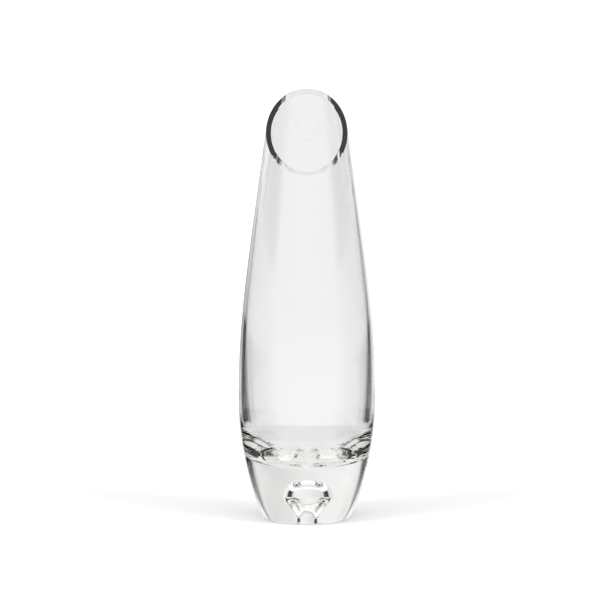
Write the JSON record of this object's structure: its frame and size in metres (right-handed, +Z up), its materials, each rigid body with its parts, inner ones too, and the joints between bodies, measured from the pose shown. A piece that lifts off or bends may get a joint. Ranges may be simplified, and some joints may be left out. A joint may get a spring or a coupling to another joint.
{
  "type": "glass bud vase",
  "caption": "Tall tapering clear glass bud vase with a slanted, polished mouth and a heavy solid base holding an air bubble.",
  "frame": {"origin": "on the vase's axis, at the level of the foot", "axes": "+Z up along the vase's axis; the mouth's low side faces -Y; +X to the right seen from the low side"},
  "size_m": [0.0796, 0.0796, 0.2501],
  "materials": {
    "vessel_glass": "clear blown glass, fire-polished, with a cut and polished mouth",
    "base_glass": "clear solid glass, polished, with a trapped air bubble",
    "seal_glass": "clear glass, ground and polished flush"
  },
  "bodies": {
    "root": {"vessel": "vessel_glass", "base": "base_glass", "channel_seal": "seal_glass"}
  },
  "joints": []
}
